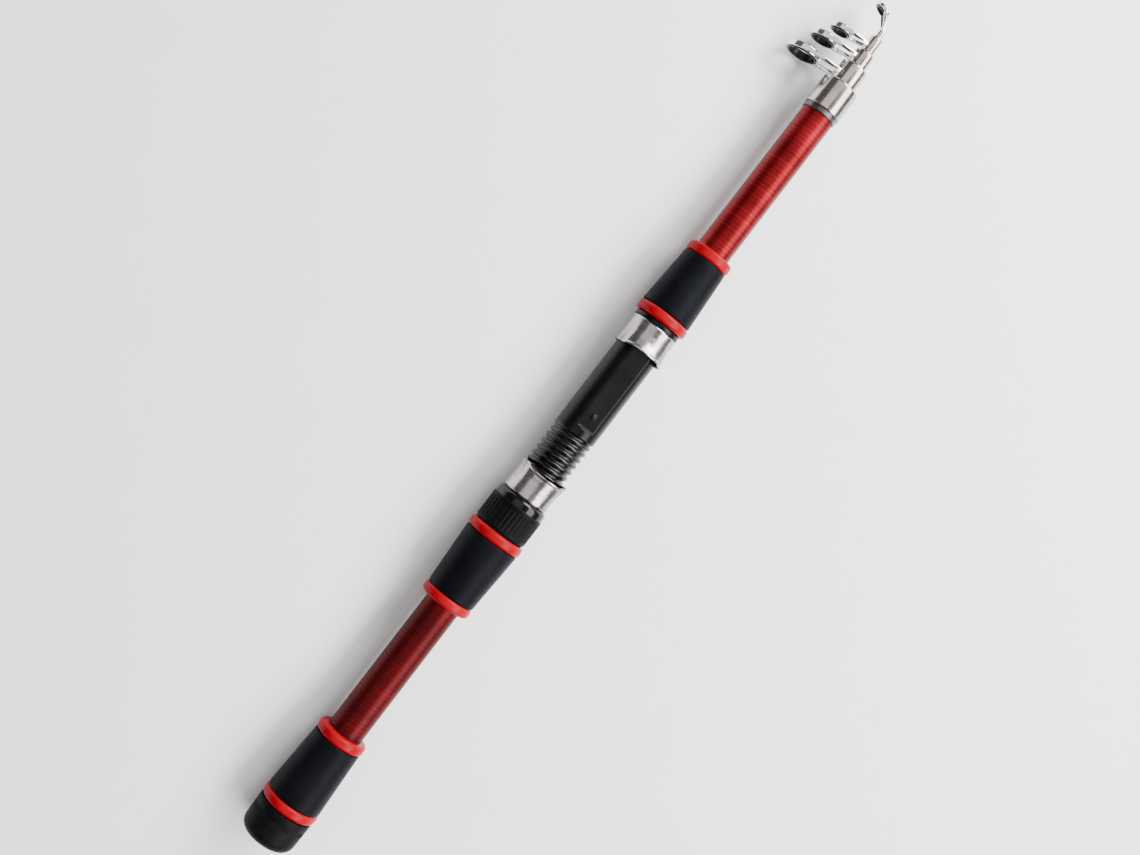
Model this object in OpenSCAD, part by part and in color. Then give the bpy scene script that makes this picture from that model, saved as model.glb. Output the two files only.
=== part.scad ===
// Telescopic spinning rod, closed for carrying, without its reel.
// The rod lies along +X with its butt at the origin, and the reel saddle faces +Z.
// Each piece is drawn with the rod standing on its butt, +Z up the rod and +X on the
// saddle's side, and laid() lays it down.

/* [Butt] */
// Length of the rubber butt cap
cap_l = 16.8; // [14:0.2:30]
// Radius of the rounded edge at the cap's closed end
cap_round = 7; // [2:0.5:8]
// Thickness of the rubber around the cap's insert
cap_rubber = 1.6; // [1:0.1:3]
// Wall of the cap's threaded insert
cap_insert_wall = 1.7; // [1.3:0.1:3]
// Thickness of the cushion that the closed sections rest on
cushion_t = 2.6; // [1:0.2:5]
// Wall of the threaded ferrule on the blank's end
ferrule_wall = 1.2; // [1:0.1:2]
// Lead of the cap's thread
cap_pitch = 2; // [1:0.25:3]

/* [Grips] */
// Length of each bright trim ring
trim_l = 4.8; // [3:0.1:8]
// Thickness of a trim ring above the grip that it ends
trim_step = 0.35; // [0.1:0.05:1]
// Length of the rear grip
rear_grip_l = 31.3; // [20:0.5:120]
// Thickness of the rear grip's foam, butt end and tip end
rear_grip_t = [4.6, 3]; // [1.5:0.05:9]
// Bare blank between the rear grip and the mid grip
lower_gap = 69.6; // [20:0.5:200]
// Length of the mid grip
mid_grip_l = 29.6; // [20:0.5:80]
// Thickness of the mid grip's foam, butt end and tip end
mid_grip_t = [3.3, 4.8]; // [1.5:0.05:9]
// Length of the fore grip
fore_grip_l = 28.2; // [20:0.5:120]
// Thickness of the fore grip's foam, butt end and tip end
fore_grip_t = [4.2, 2.45]; // [1.5:0.05:9]

/* [Reel seat] */
// Length of the reel seat's body
seat_l = 110; // [100:1:150]
// Wall of the seat at the bottom of its thread
seat_wall = 0.7; // [0.5:0.05:2]
// Lead of the seat's thread
thread_pitch = 3.2; // [2:0.1:5]
// Depth of the seat's thread
thread_depth = 1.1; // [0.6:0.1:1.5]
// Depth of the saddle flat below the seat's round surface
saddle_depth = 0.9; // [0.4:0.1:1.1]
// Width of the keyway along the underside of the thread
key_w = 4; // [2:0.5:6]
// Length of the black ring that ends the seat
seat_end_l = 2.7; // [1.5:0.1:6]
// Height of the seat end ring above the seat
seat_end_step = 1.05; // [0.5:0.05:3]
// Length of the lock nut
nut_l = 18; // [15:0.5:28]
// Wall of the lock nut's fluted part
nut_wall = 2.45; // [1.8:0.05:4]
// Number of flutes on the lock nut
nut_flutes = 36; // [12:1:48]
// Length of each steel hood
hood_l = 13.6; // [10:0.2:20]
// Thickness of the hoods' steel
hood_steel = 0.45; // [0.3:0.05:1]
// Thickness of the plastic liners under the hoods
liner_t = 0.35; // [0.3:0.05:1]
// Rise of each hood's pocket at its mouth
pocket_rise = 2.2; // [1.5:0.1:4]
// Travel of the sliding hood along the thread
hood_travel = 20; // [10:0.5:24]

/* [Sections] */
// Diameter of the butt blank at its lower end
butt_d = 16.8; // [14:0.1:22]
// Bare blank between the fore grip and the butt collar
upper_gap = 77; // [40:0.5:200]
// Diameter of each hollow blank at its tip, butt section first
blank_tip_d = [15.3, 11, 7.4, 4.4]; // [3:0.1:20]
// Wall of each hollow blank, butt section first
blank_wall = [1.7, 1.4, 1.2, 1]; // [0.6:0.1:2.5]
// Diameter of the solid tip blank at its end
tip_end_d = 1.4; // [0.8:0.1:2]
// Outer diameter of each blank's metal collar, butt section first
collar_d = [17.6, 12.7, 8.9, 5.8]; // [3:0.1:24]
// Length of each metal collar, butt section first
collar_l = [14.1, 9.9, 7.3, 7.7]; // [5:0.1:30]
// Length that stays inside when each inner section is drawn out, second section first
overlap = [70, 66, 62, 58]; // [40:1:90]
// Thickness of the stop at each collar's end
stop_t = 1; // [0.6:0.1:2]
// Thickness of the black band below the butt collar
band_t = 0.55; // [0.2:0.05:1]
// Length of the black band below the butt collar
band_l = 2.4; // [1:0.1:8]

/* [Line guides] */
// Turn of the guides below level, away from the saddle
guide_roll = 16; // [0:1:60]
// Outer diameter of each guide's steel rim, second section first and tip last
rim_d = [16.4, 13, 10.8, 8.3]; // [6:0.1:30]
// Distance of each rim's centre from the rod's axis
rim_reach = [21.8, 18.2, 14.4, 5.6]; // [4:0.1:40]
// Radial thickness of the steel rims
rim_wall = 0.8; // [0.5:0.1:1.5]
// Axial thickness of each guide's steel rim
rim_t = [2.8, 2.6, 2.4, 1.6]; // [1:0.1:4]
// Radial thickness of the ceramic rings
ceramic_wall = 1.3; // [0.6:0.1:1.8]
// Axial thickness of each ceramic ring
ceramic_t = [3.6, 3.4, 3.2, 2.4]; // [1.5:0.1:5]
// Thickness of the guides' legs
leg_t = 1; // [0.6:0.1:2]
// Height of the guides' legs
leg_h = 2.2; // [1:0.1:4]
// Lean of the guides towards the butt
guide_lean = 6; // [0:1:12]
// Outer diameter of the tip tube
tip_tube_d = 3.4; // [3:0.1:5]
// Length of the tip tube
tip_tube_l = 4.6; // [3:0.1:12]
// Height of the tip guide's centre above the tip tube
tip_rise = 6.4; // [5:0.1:15]
// Lean of the tip guide
tip_lean = 20; // [0:1:50]

/* [Hidden] */
$fn = 96;
eps = 0.01;
glue_gap = 0.04;      // between glued pieces
slip = 0.05;          // between a section and the bore it is drawn out of
run_gap = 0.08;       // between turning or sliding pieces
face_gap = 0.2;       // between faces that part when something moves
trim_edge = 1.4;      // rounding of a trim ring
grip_edge = 0.5;      // rounding of a grip's ends
cushion_lap = 1.2;    // length of the cushion that reaches into the blank's end
plain_l = 4.4;        // plain seat between its thread and its saddle

// Stations along the rod, from the butt
cap_floor = 3.6;
insert_floor = 1.1;
x_cushion = cap_floor + insert_floor;
x_blank = x_cushion + cushion_t - cushion_lap;
x_base = x_cushion + cushion_t + face_gap;
x_trim_1 = cap_l + face_gap;
x_rear = x_trim_1 + trim_l;
x_trim_2 = x_rear + rear_grip_l;
x_trim_3 = x_trim_2 + trim_l + lower_gap;
x_mid = x_trim_3 + trim_l;
x_trim_4 = x_mid + mid_grip_l;
x_seat = x_trim_4 + trim_l;
thread_l = nut_l + hood_l + hood_travel + 1.2;   // reaches the hood's mouth at full travel
x_thread_end = x_seat + thread_l;
x_seat_end = x_seat + seat_l;
x_trim_5 = x_seat_end + seat_end_l;
x_fore = x_trim_5 + trim_l;
x_trim_6 = x_fore + fore_grip_l;
x_collar = x_trim_6 + trim_l + upper_gap;

// Collars stack one on the next, and a blank ends under its collar's stop
function collar_x(i) = i == 0 ? x_collar : collar_x(i - 1) + collar_l[i - 1] + face_gap;
function blank_end(i) = collar_x(i) + collar_l[i] - stop_t;
function blank_base(i) = i == 0 ? x_blank : x_base;

// An inner section is as thick as the bore that it ends in when it is drawn out
function travel(i) = blank_end(i - 1) - overlap[i - 1] - x_base;
function fit_r(i, x) = outer_r(i - 1, x) - blank_wall[i - 1] - slip;
function line_r(x, x0, r0, x1, r1) = r0 + (r1 - r0) * (x - x0) / (x1 - x0);
function base_r(i) = i == 0 ? butt_d / 2 : fit_r(i, x_base + travel(i));
function shoulder_r(i) = fit_r(i, blank_end(i - 1));
function outer_r(i, x) =
    i == 0 ? line_r(x, x_blank, butt_d / 2, blank_end(0), blank_tip_d[0] / 2)
    : x < x_base + overlap[i - 1]
    ? line_r(x, x_base, base_r(i), x_base + overlap[i - 1], shoulder_r(i))
    : line_r(x, x_base + overlap[i - 1], shoulder_r(i), blank_end(i), blank_tip_d[i] / 2);
function mouth_r(i) = outer_r(i, blank_end(i)) - blank_wall[i];
function on_blank(x) = outer_r(0, x) + glue_gap;

// Radii of the cap's parts
ferrule_r = on_blank(x_blank) + ferrule_wall;
insert_r = ferrule_r + run_gap + cap_insert_wall;
cap_r = insert_r + glue_gap + cap_rubber;

// Radii of the reel seat's parts
seat_bore = on_blank(x_seat);
root_r = seat_bore + seat_wall;
seat_r = root_r + thread_depth;
saddle_h = seat_r - saddle_depth;
key_h = root_r - 0.1;
key_root = 0.02;                      // the liner's key is sunk this far into its wall
liner_in = seat_r + run_gap;
hood_in = liner_in + liner_t;
hood_out = hood_in + hood_steel;
nut_r = liner_in + nut_wall;
x_saddle = x_thread_end + plain_l;
x_nut = x_seat + face_gap;
x_hood = x_nut + nut_l + face_gap;
hood_wall = 1;                        // closed end of each hood's pocket
pocket_tilt = atan(pocket_rise / hood_l);
stud_r = 1.4;                         // moulded stud near the saddle's start
stud_z = 6.2;
x_flat = x_saddle + stud_z + 2 * stud_r;   // the face that a reel's foot lies on
x_fixed_mouth = x_seat_end - hood_l;       // ends at the fixed hood
flat_step = 0.1;                      // drop of the saddle beyond that face

// The hood's tail runs in the nut's front, held by a wire ring
tail_l = 7;
tail_wall = 0.42;
tail_r = liner_in + tail_wall;
clip_in = tail_r - 0.2;
clip_out = tail_r + 0.7;
clip_w = 0.8;
clip_inset = 5.8;
clip_z = x_hood - face_gap - clip_inset;

// The nut's fluted part ends at a shoulder, before its smooth nose
nose_l = 4.7;
nose_step = 0.4;
nose_round = 2.4;
flute_r = 0.55;
flute_out = 0.3;                      // place of a flute's centre outside the nut
flute_from = 1.6;
flute_end = 1;                        // plain length between the flutes and the shoulder

tip_x = blank_end(3) + stop_t + face_gap;
tip_blank_end = tip_x + tip_tube_l - stop_t;
tip_ring_x = tip_x + tip_tube_l + tip_rise;
rim_clear = 0.2;                      // height of a rim's lowest point above its collar's foot

// Height above its collar's foot at which a leaning guide's plane meets the rod's axis
function guide_lift(k) = rim_t[k] / 2 + rim_clear + rim_reach[k] * sin(guide_lean);

// Lays a standing piece down along +X, its +X side up
module laid() {
    rotate([180, 0, 0]) rotate([0, 90, 0]) children();
}

// Points of a rounded corner of an outline, from angle a0 to a1
function corner(x, y, r, a0, a1) =
    [for (i = [0:4]) let (a = a0 + (a1 - a0) * i / 4) [x + r * cos(a), y + r * sin(a)]];

// Points of evenly spaced ridges along a threaded surface, from root to crest radius
function ridges(z0, z1, pitch, root, crest) =
    [for (i = [0:floor((z1 - z0) / pitch) - 1])
        for (p = [[root, 0.1], [root, 0.35], [crest, 0.5], [crest, 0.85]])
            [p[0], z0 + (i + p[1]) * pitch]];

// Solid of revolution that stands on z, bored through
module sleeve(z, l, r0, r1, bore, edge) {
    difference() {
        translate([0, 0, z])
        rotate_extrude()
        polygon(concat(
            [[0, 0]],
            corner(r0 - edge, edge, edge, -90, 0),
            corner(r1 - edge, l - edge, edge, 0, 90),
            [[0, l]]
        ));
        translate([0, 0, z - 1]) cylinder(r = bore, h = l + 2);
    }
}

// Trim ring at z, above the foam of the grip that starts at x_grip
module trim_ring(z, x_grip, foam_t) {
    r = on_blank(x_grip) + foam_t + trim_step;
    color("red") laid() sleeve(z, trim_l, r, r, on_blank(z), trim_edge);
}

module grip(z, l, foam_t) {
    bore = on_blank(z);
    color([0.08, 0.08, 0.09]) laid() sleeve(z, l, bore + foam_t[0], bore + foam_t[1], bore, grip_edge);
}

// Hollow blank of a section, from its base to its tip
module blank(i) {
    base = blank_base(i);
    bend = i == 0 ? base + 1 : x_base + overlap[i - 1];
    stations = [base, bend, blank_end(i)];
    color([0.55, 0.03, 0.05])
    laid()
    rotate_extrude()
    polygon(concat(
        [for (x = stations) [outer_r(i, x), x]],
        [for (k = [2:-1:0]) [outer_r(i, stations[k]) - blank_wall[i], stations[k]]]
    ));
}

// Metal collar on a blank's tip; its stop holds the next section's collar
module collar(i) {
    z = collar_x(i);
    r = collar_d[i] / 2;
    color([0.76, 0.73, 0.7])
    laid()
    rotate_extrude()
    polygon(concat(
        [[outer_r(i, z) + glue_gap, z], [r, z]],
        corner(r - 0.7, z + collar_l[i] - 0.7, 0.7, 0, 90),
        [[mouth_r(i), z + collar_l[i]],
         [mouth_r(i), z + collar_l[i] - stop_t + glue_gap],
         [outer_r(i, z) + glue_gap, z + collar_l[i] - stop_t + glue_gap]]
    ));
}

// Turns a piece to the guides' side of the rod
module guide_side() {
    rotate([0, 0, -90 - guide_roll]) children();
}

// Rim of a guide, or its ceramic ring, about +Z
module rim(r_in, r_out, t) {
    translate([0, 0, -t / 2])
    difference() {
        cylinder(r = r_out, h = t);
        translate([0, 0, -1]) cylinder(r = r_in, h = t + 2);
    }
}

module ceramic(k) {
    r_out = rim_d[k] / 2 - rim_wall;
    r_in = r_out - ceramic_wall;
    edge = ceramic_wall / 2;
    top = ceramic_t[k] / 2;
    color([0.05, 0.05, 0.06])
    rotate_extrude()
    polygon(concat(
        [[r_out, edge - top], [r_out, top - edge]],
        corner(r_out - edge, top - edge, edge, 0, 90),
        corner(r_in + edge, top - edge, edge, 90, 180),
        corner(r_in + edge, edge - top, edge, 180, 270),
        corner(r_out - edge, edge - top, edge, 270, 360)
    ));
}

// Flat bar from one point to another, t thick and h high
module bar(a, b, t, h) {
    d = b - a;
    translate(a)
    rotate([0, 0, atan2(d[1], d[0])])
    translate([0, -t / 2, -h / 2])
    cube([norm(d), t, h]);
}

// Places a piece at a guide's plane, +X out along it to the rim's centre
module at_guide(k) {
    laid()
    guide_side()
    translate([0, 0, collar_x(k + 1) + guide_lift(k)])
    rotate([0, guide_lean, 0])
    children();
}

// Steel frame of a guide: a rim and two legs that end on the collar
module guide_frame(k) {
    r = rim_d[k] / 2;
    foot = collar_d[k + 1] / 2;
    color([0.82, 0.83, 0.85])
    difference() {
        at_guide(k)
        difference() {
            union() {
                translate([rim_reach[k], 0, 0]) cylinder(r = r, h = rim_t[k], center = true);
                for (s = [-1, 1])
                    bar([0.4 * foot, s * 0.5 * foot, 0],
                        [rim_reach[k] - 0.35 * r, s * (r - rim_wall), 0], leg_t, leg_h);
            }
            translate([rim_reach[k], 0, -rim_t[k]])
                cylinder(r = r - rim_wall, h = 2 * rim_t[k]);
        }
        laid() translate([0, 0, collar_x(k + 1) - 1])
            cylinder(r = foot, h = collar_l[k + 1] + 2);
    }
}

module guide_ring(k) {
    at_guide(k) translate([rim_reach[k], 0, 0]) ceramic(k);
}

// Places a piece at the tip guide's centre, leaning outwards
module at_tip_ring() {
    laid()
    guide_side()
    translate([rim_reach[3], 0, tip_ring_x])
    rotate([0, -tip_lean, 0])
    children();
}

module butt_cap() {
    color([0.06, 0.06, 0.07])
    laid()
    difference() {
        rotate_extrude()
        polygon(concat(
            [[0, 0]],
            corner(cap_r - cap_round, cap_round, cap_round, -90, 0),
            corner(cap_r - 0.8, cap_l - 0.8, 0.8, 0, 90),
            [[0, cap_l]]
        ));
        translate([0, 0, cap_floor]) cylinder(r = insert_r + glue_gap, h = cap_l);
    }
}

// The thread clears the ferrule's crests, so that the cap turns on them
module cap_insert() {
    color([0.35, 0.35, 0.37])
    laid()
    difference() {
        translate([0, 0, cap_floor]) cylinder(r = insert_r, h = cap_l - cap_floor - 0.4);
        translate([0, 0, x_cushion]) cylinder(r = ferrule_r + run_gap, h = cap_l);
    }
}

module cushion_pad() {
    color([0.25, 0.2, 0.17])
    laid()
    sleeve(x_cushion + glue_gap, cushion_t - glue_gap,
        mouth_r(0) + 0.2, mouth_r(0) + 0.2, base_r(4) / 2, 0.4);
}

module butt_ferrule() {
    low = x_blank + 0.3;
    color([0.62, 0.62, 0.64])
    laid()
    rotate_extrude()
    polygon(concat(
        [[on_blank(x_blank), low], [ferrule_r - 0.7, low]],
        ridges(low + 0.4, cap_l - 1.5, cap_pitch, ferrule_r - 0.7, ferrule_r),
        [[ferrule_r - 0.7, cap_l], [on_blank(x_blank), cap_l]]
    ));
}

// Cuts the seat down to a flat of one height, between two stations
module saddle_cut(height, z0, z1) {
    translate([height, -seat_r, z0]) cube([seat_r, 2 * seat_r, z1 - z0]);
}

// Threaded tube with a saddle flat, and a keyway for the sliding hood along its underside
module reel_seat_body() {
    color([0.05, 0.05, 0.06])
    laid()
    difference() {
        union() {
            difference() {
                rotate_extrude()
                polygon(concat(
                    [[0, x_seat], [root_r, x_seat]],
                    ridges(x_seat, x_thread_end, thread_pitch, root_r, seat_r),
                    [[root_r, x_thread_end], [seat_r, x_thread_end + 0.6],
                     [seat_r, x_seat_end], [0, x_seat_end]]
                ));
                saddle_cut(saddle_h - flat_step, x_saddle, x_flat);
                saddle_cut(saddle_h, x_flat - eps, x_fixed_mouth);
                saddle_cut(saddle_h - flat_step, x_fixed_mouth, x_seat_end + 1);
                translate([-2 * seat_r, -key_w / 2, x_seat - 1])
                    cube([2 * seat_r - key_h, key_w, thread_l + 1]);
            }
            translate([saddle_h - stud_r / 2, 0, x_saddle + stud_z])
                sphere(r = stud_r);
        }
        translate([0, 0, x_seat - 1]) cylinder(r = seat_bore, h = seat_l + 2);
    }
}

module seat_end_ring() {
    r = seat_r + seat_end_step;
    color([0.05, 0.05, 0.06])
    laid()
    sleeve(x_seat_end, seat_end_l, r, r, on_blank(x_seat_end), 0.7);
}

// Ring and leaning pocket of a hood that stands on its closed end, between two heights
module hood_form(r, low, high) {
    translate([0, 0, low]) cylinder(r = r, h = high - low);
    intersection() {
        rotate([0, pocket_tilt, 0]) translate([0, 0, -r]) cylinder(r = r, h = hood_l + 3 * r);
        translate([-2 * r, -2 * r, low]) cube([4 * r, 4 * r, high - low]);
    }
}

// Stands a hood on its closed end; the fixed hood's mouth looks back at the butt
module at_hood(fixed) {
    laid()
    translate([0, 0, fixed ? x_seat_end : x_hood])
    mirror([0, 0, fixed ? 1 : 0])
    children();
}

module hood(fixed) {
    color([0.8, 0.8, 0.82])
    at_hood(fixed)
    difference() {
        hood_form(hood_out, 0, hood_l);
        translate([0, 0, -1]) cylinder(r = hood_in, h = hood_l + 2);
        hood_form(hood_in, hood_wall, hood_l + 1);
    }
}

module hood_liner(fixed) {
    bore = fixed ? seat_r + glue_gap : liner_in;
    color([0.1, 0.1, 0.11])
    at_hood(fixed)
    difference() {
        union() {
            translate([0, 0, hood_wall + glue_gap])
                cylinder(r = hood_in - glue_gap, h = hood_l - hood_wall - 0.5);
            hood_form(hood_in - glue_gap, hood_wall + glue_gap, hood_l - 0.5);
            translate([0, 0, fixed ? 0 : -tail_l])
                cylinder(r = fixed ? hood_in - glue_gap : tail_r,
                    h = fixed ? hood_wall * 2 : tail_l - eps);
            cylinder(r = hood_in - glue_gap, h = 2 * hood_wall);
        }
        translate([0, 0, -tail_l - 1]) cylinder(r = bore, h = hood_l + tail_l + 2);
        hood_form(bore, 2 * hood_wall, hood_l + 1);
        if (!fixed)
            translate([0, 0, clip_z - x_hood - 0.02])
            difference() {
                cylinder(r = tail_r + 1, h = clip_w + 0.04);
                translate([0, 0, -1]) cylinder(r = clip_in, h = clip_w + 2);
            }
    }
}

// Key of the sliding hood's liner, in the seat's keyway
module liner_key() {
    at_hood(false)
    translate([-liner_in - key_root, -key_w / 2 + run_gap, -tail_l])
    cube([liner_in + key_root - key_h - run_gap, key_w - 2 * run_gap, tail_l + hood_l - 1]);
}

module sliding_hood_liner() {
    color([0.1, 0.1, 0.11])
    union() {
        hood_liner(false);
        liner_key();
    }
}

module hood_clip_ring() {
    color([0.7, 0.7, 0.72])
    laid()
    translate([0, 0, clip_z])
    difference() {
        cylinder(r = clip_out, h = clip_w);
        translate([0, 0, -1]) cylinder(r = clip_in + 0.02, h = clip_w + 2);
        translate([-2 * clip_out, -1.5, -1]) cube([2 * clip_out, 3, clip_w + 2]);
    }
}

module lock_nut() {
    shoulder = nut_l - nose_l;
    nose_r = nut_r - nose_step;
    color([0.07, 0.07, 0.08])
    laid()
    translate([0, 0, x_nut])
    difference() {
        rotate_extrude()
        polygon(concat(
            [[0, 0]],
            corner(nut_r - 1.2, 1.2, 1.2, -90, 0),
            corner(nut_r - 0.6, shoulder - 0.6, 0.6, 0, 90),
            [[nose_r, shoulder + 0.3]],
            corner(nose_r - nose_round, nut_l - nose_round, nose_round, 0, 90),
            [[0, nut_l]]
        ));
        translate([0, 0, -1]) cylinder(r = liner_in, h = nut_l + 2);
        translate([0, 0, nut_l - tail_l - face_gap])
            cylinder(r = tail_r + run_gap, h = nut_l);
        translate([0, 0, clip_z - x_nut - run_gap])
            cylinder(r = clip_out + run_gap, h = clip_w + 2 * run_gap);
        for (a = [0:nut_flutes - 1])
            rotate([0, 0, a * 360 / nut_flutes])
            translate([nut_r + flute_out, 0, flute_from])
            cylinder(r = flute_r, h = shoulder - flute_from - flute_end, $fn = 24);
    }
}

module collar_band() {
    r = outer_r(0, x_collar - band_l) + band_t;
    color([0.04, 0.04, 0.04])
    laid()
    sleeve(x_collar - band_l, band_l - glue_gap, r, r, on_blank(x_collar - band_l), 0.25);
}

module tip_blank() {
    bend = x_base + overlap[3];
    color([0.55, 0.03, 0.05])
    laid()
    rotate_extrude()
    polygon([
        [0, x_base], [base_r(4), x_base], [shoulder_r(4), bend],
        [tip_end_d / 2, tip_blank_end], [0, tip_blank_end]
    ]);
}

module tip_tube() {
    color([0.82, 0.83, 0.85])
    laid()
    difference() {
        translate([0, 0, tip_x]) cylinder(d = tip_tube_d, h = tip_tube_l);
        translate([0, 0, tip_x - 1])
            cylinder(r = line_r(tip_x, x_base + overlap[3], shoulder_r(4), tip_blank_end,
                tip_end_d / 2) + glue_gap, h = tip_blank_end - tip_x + 1 + glue_gap);
    }
}

// Rim with two round legs down to the tip tube
module tip_guide_frame() {
    r = rim_d[3] / 2;
    t = rim_t[3];
    foot = [0, 0, tip_x + tip_tube_l];
    color([0.82, 0.83, 0.85]) {
        difference() {
            union() {
                at_tip_ring() rim(r - rim_wall - eps, r, t);
                laid() guide_side()
                for (s = [-1, 1]) {
                    a = foot + [0.2, s * 0.75, -0.9];
                    b = [rim_reach[3] - 0.5 * r, s * (r - 0.7), tip_ring_x - 0.6];
                    d = b - a;
                    translate(a)
                    rotate([0, acos(d[2] / norm(d)), atan2(d[1], d[0])])
                    cylinder(r = 0.55, h = norm(d));
                }
            }
            at_tip_ring() cylinder(r = r - rim_wall, h = 2 * t, center = true);
            laid() translate([0, 0, tip_x - 1]) cylinder(d = tip_tube_d, h = tip_tube_l + 1);
        }
    }
}

module tip_guide_ring() {
    at_tip_ring() ceramic(3);
}

butt_cap();
cap_insert();
cushion_pad();
butt_ferrule();
blank(0);  // butt_blank
grip(x_rear, rear_grip_l, rear_grip_t);  // rear_grip
trim_ring(x_trim_1, x_rear, rear_grip_t[0]);  // rear_grip_lower_ring
trim_ring(x_trim_2, x_rear, rear_grip_t[1]);  // rear_grip_upper_ring
grip(x_mid, mid_grip_l, mid_grip_t);  // mid_grip
trim_ring(x_trim_3, x_mid, mid_grip_t[0]);  // mid_grip_lower_ring
trim_ring(x_trim_4, x_mid, mid_grip_t[1]);  // mid_grip_upper_ring
reel_seat_body();
lock_nut();
hood_clip_ring();
hood(false);  // sliding_hood
sliding_hood_liner();
hood(true);  // fixed_hood
hood_liner(true);  // fixed_hood_liner
seat_end_ring();
grip(x_fore, fore_grip_l, fore_grip_t);  // fore_grip
trim_ring(x_trim_5, x_fore, fore_grip_t[0]);  // fore_grip_lower_ring
trim_ring(x_trim_6, x_fore, fore_grip_t[1]);  // fore_grip_upper_ring
collar_band();
collar(0);  // butt_collar
blank(1);  // section_2_blank
collar(1);  // section_2_collar
guide_frame(0);  // section_2_guide_frame
guide_ring(0);  // section_2_guide_ring
blank(2);  // section_3_blank
collar(2);  // section_3_collar
guide_frame(1);  // section_3_guide_frame
guide_ring(1);  // section_3_guide_ring
blank(3);  // section_4_blank
collar(3);  // section_4_collar
guide_frame(2);  // section_4_guide_frame
guide_ring(2);  // section_4_guide_ring
tip_blank();
tip_tube();
tip_guide_frame();
tip_guide_ring();
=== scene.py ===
import math

import bpy
import numpy as np
from mathutils import Matrix, Vector


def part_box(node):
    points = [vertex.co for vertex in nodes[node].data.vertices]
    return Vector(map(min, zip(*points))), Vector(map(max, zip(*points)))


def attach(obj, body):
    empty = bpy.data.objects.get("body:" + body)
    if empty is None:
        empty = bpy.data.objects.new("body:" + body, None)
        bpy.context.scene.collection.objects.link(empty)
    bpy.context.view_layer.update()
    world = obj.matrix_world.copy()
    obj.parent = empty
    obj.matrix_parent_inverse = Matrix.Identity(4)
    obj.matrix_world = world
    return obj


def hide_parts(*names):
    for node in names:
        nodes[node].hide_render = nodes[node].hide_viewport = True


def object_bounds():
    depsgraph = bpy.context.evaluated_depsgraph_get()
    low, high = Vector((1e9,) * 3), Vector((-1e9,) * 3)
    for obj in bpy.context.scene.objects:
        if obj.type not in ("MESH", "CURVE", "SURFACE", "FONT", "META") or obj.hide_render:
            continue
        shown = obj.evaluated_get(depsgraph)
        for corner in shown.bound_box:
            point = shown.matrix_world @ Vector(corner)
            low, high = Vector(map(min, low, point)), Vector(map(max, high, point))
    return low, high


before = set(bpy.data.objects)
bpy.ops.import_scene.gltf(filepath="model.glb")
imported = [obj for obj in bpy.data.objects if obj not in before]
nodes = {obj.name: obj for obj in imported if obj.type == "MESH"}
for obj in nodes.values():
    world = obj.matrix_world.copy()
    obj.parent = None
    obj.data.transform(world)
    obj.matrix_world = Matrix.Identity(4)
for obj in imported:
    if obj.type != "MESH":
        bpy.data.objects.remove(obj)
cadLow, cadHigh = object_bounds()
mm = 0.001  # outlines are drawn in millimetres, meshes are made in metres
tau = 2 * math.pi
print("frame loaded,", len(nodes), "nodes")


def span(node):  # first and last place of a node along the rod, mm
    low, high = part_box(node)
    return low.x / mm, high.x / mm


def reachOf(node, first, last):  # largest radius of a round node between two places, mm
    best = 0
    for v in nodes[node].data.vertices:
        if first * mm - 1e-6 <= v.co.x <= last * mm + 1e-6:
            best = max(best, math.hypot(v.co.y, v.co.z))
    return best / mm


def boreOf(node):  # smallest radius of a hollow node, mm
    return min(math.hypot(v.co.y, v.co.z) for v in nodes[node].data.vertices) / mm


def middleOf(node):  # centre of a node's box, mm
    low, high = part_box(node)
    return (low + high) / 2 / mm


class Wire:  # a node socket that takes part in sums
    def __init__(self, finish, socket):
        self.finish = finish
        self.socket = socket

    def mathNode(self, operation, *values):
        inputs = {f"_{k}": value for k, value in enumerate(values)}
        return self.finish.add("Math", {"operation": operation}, **inputs)

    def __add__(self, other):
        return self.mathNode("ADD", self, other)

    def __radd__(self, other):
        return self.mathNode("ADD", other, self)

    def __sub__(self, other):
        return self.mathNode("SUBTRACT", self, other)

    def __rsub__(self, other):
        return self.mathNode("SUBTRACT", other, self)

    def __mul__(self, other):
        return self.mathNode("MULTIPLY", self, other)

    def __rmul__(self, other):
        return self.mathNode("MULTIPLY", other, self)

    def __truediv__(self, other):
        return self.mathNode("DIVIDE", self, other)

    def __rtruediv__(self, other):
        return self.mathNode("DIVIDE", other, self)

    def sine(self):
        return self.mathNode("SINE", self)

    def angleTo(self, other):  # angle of the point (other, self)
        return self.mathNode("ARCTAN2", self, other)

    def between(self, low, high):  # 0 at low, 1 at high, smooth in between
        return self.finish.add("MapRange", {"interpolation_type": "SMOOTHSTEP"},
                               Value=self, From_Min=low, From_Max=high)


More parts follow.
